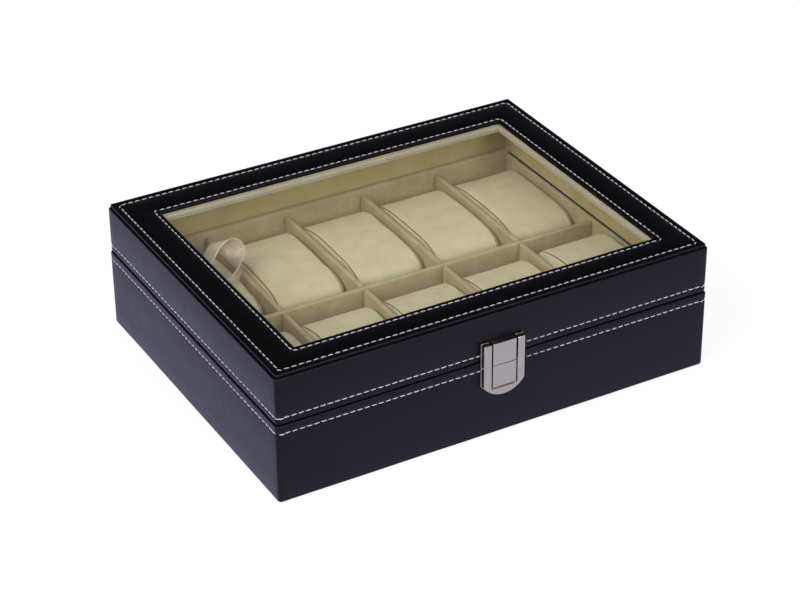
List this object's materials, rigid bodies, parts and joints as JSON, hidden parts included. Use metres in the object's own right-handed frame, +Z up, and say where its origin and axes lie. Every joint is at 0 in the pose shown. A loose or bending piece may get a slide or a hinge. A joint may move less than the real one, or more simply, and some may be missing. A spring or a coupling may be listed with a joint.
{
  "type": "watch box",
  "caption": "Rectangular leather-covered watch box with a hinged window lid, lined compartments, removable watch pillows and a push-button clasp.",
  "frame": {"origin": "middle of the footprint, on the surface that the box stands on", "axes": "+X along the long side to the right as seen from the clasp, +Y from the clasp to the hinges, +Z up"},
  "size_m": [0.255, 0.2076, 0.075],
  "materials": {
    "black_leather": "satin grained synthetic leather",
    "black_felt": "matt felt",
    "wood_board": "raw board",
    "cream_velvet": "short-pile velvet",
    "pillow_velvet": "short-pile velvet",
    "clear_glass": "clear",
    "clasp_metal": "polished nickel plate",
    "hinge_steel": "nickel-plated steel",
    "satin_ribbon": "satin"
  },
  "bodies": {
    "base": {"base_bottom_board": "wood_board", "base_felt": "black_felt", "base_floor_lining": "cream_velvet", "base_front_board": "wood_board", "base_front_lining": "cream_velvet", "base_left_board": "wood_board", "base_left_lining": "cream_velvet", "base_rear_board": "wood_board", "base_rear_lining": "cream_velvet", "base_right_board": "wood_board", "base_right_lining": "cream_velvet", "base_wrap": "black_leather", "clasp_housing": "clasp_metal", "clasp_rivets": "clasp_metal", "clasp_spring": "clasp_metal", "cross_divider_1": "cream_velvet", "cross_divider_2": "cream_velvet", "cross_divider_3": "cream_velvet", "cross_divider_4": "cream_velvet", "hinge_base_screws": "hinge_steel", "hinge_left_base_leaf": "hinge_steel", "hinge_left_pin": "hinge_steel", "hinge_right_base_leaf": "hinge_steel", "hinge_right_pin": "hinge_steel", "long_divider": "cream_velvet", "stay_ribbon": "satin_ribbon"},
    "lid": {"clasp_tongue": "clasp_metal", "hinge_left_lid_leaf": "hinge_steel", "hinge_lid_screws": "hinge_steel", "hinge_right_lid_leaf": "hinge_steel", "lid_frame_board": "wood_board", "lid_front_board": "wood_board", "lid_front_lining": "cream_velvet", "lid_left_board": "wood_board", "lid_left_lining": "cream_velvet", "lid_rear_board": "wood_board", "lid_rear_lining": "cream_velvet", "lid_right_board": "wood_board", "lid_right_lining": "cream_velvet", "lid_top_cover": "black_leather", "lid_wrap": "black_leather", "tongue_rivets": "clasp_metal", "window_pane": "clear_glass", "window_retainer": "cream_velvet"},
    "button": {"clasp_button": "clasp_metal"},
    "front_1_pillow": {"pillow_front_1": "pillow_velvet"},
    "front_2_pillow": {"pillow_front_2": "pillow_velvet"},
    "front_3_pillow": {"pillow_front_3": "pillow_velvet"},
    "front_4_pillow": {"pillow_front_4": "pillow_velvet"},
    "front_5_pillow": {"pillow_front_5": "pillow_velvet"},
    "rear_1_pillow": {"pillow_rear_1": "pillow_velvet"},
    "rear_2_pillow": {"pillow_rear_2": "pillow_velvet"},
    "rear_3_pillow": {"pillow_rear_3": "pillow_velvet"},
    "rear_4_pillow": {"pillow_rear_4": "pillow_velvet"},
    "rear_5_pillow": {"pillow_rear_5": "pillow_velvet"}
  },
  "joints": [
    {"name": "lid_hinge", "type": "hinge", "parent": "base", "child": "lid", "pos_m": [0, 0.102, 0.0462], "axis": [-1, 0, 0], "range_deg": [0, 100], "deforming": ["stay_ribbon"]},
    {"name": "clasp_press", "type": "slide", "parent": "base", "child": "button", "axis": [0, 1, 0], "range_m": [0, 0.0008], "stiffness_N_per_m": 1500, "springref_m": -0.0004, "deforming": ["clasp_spring"]},
    {"name": "front_1_pillow_lift", "type": "slide", "parent": "base", "child": "front_1_pillow", "axis": [0, 0, 1], "range_m": [0, 0.02]},
    {"name": "front_2_pillow_lift", "type": "slide", "parent": "base", "child": "front_2_pillow", "axis": [0, 0, 1], "range_m": [0, 0.02]},
    {"name": "front_3_pillow_lift", "type": "slide", "parent": "base", "child": "front_3_pillow", "axis": [0, 0, 1], "range_m": [0, 0.02]},
    {"name": "front_4_pillow_lift", "type": "slide", "parent": "base", "child": "front_4_pillow", "axis": [0, 0, 1], "range_m": [0, 0.02]},
    {"name": "front_5_pillow_lift", "type": "slide", "parent": "base", "child": "front_5_pillow", "axis": [0, 0, 1], "range_m": [0, 0.02]},
    {"name": "rear_1_pillow_lift", "type": "slide", "parent": "base", "child": "rear_1_pillow", "axis": [0, 0, 1], "range_m": [0, 0.02], "deforming": ["stay_ribbon"]},
    {"name": "rear_2_pillow_lift", "type": "slide", "parent": "base", "child": "rear_2_pillow", "axis": [0, 0, 1], "range_m": [0, 0.02]},
    {"name": "rear_3_pillow_lift", "type": "slide", "parent": "base", "child": "rear_3_pillow", "axis": [0, 0, 1], "range_m": [0, 0.02]},
    {"name": "rear_4_pillow_lift", "type": "slide", "parent": "base", "child": "rear_4_pillow", "axis": [0, 0, 1], "range_m": [0, 0.02]},
    {"name": "rear_5_pillow_lift", "type": "slide", "parent": "base", "child": "rear_5_pillow", "axis": [0, 0, 1], "range_m": [0, 0.02]}
  ]
}
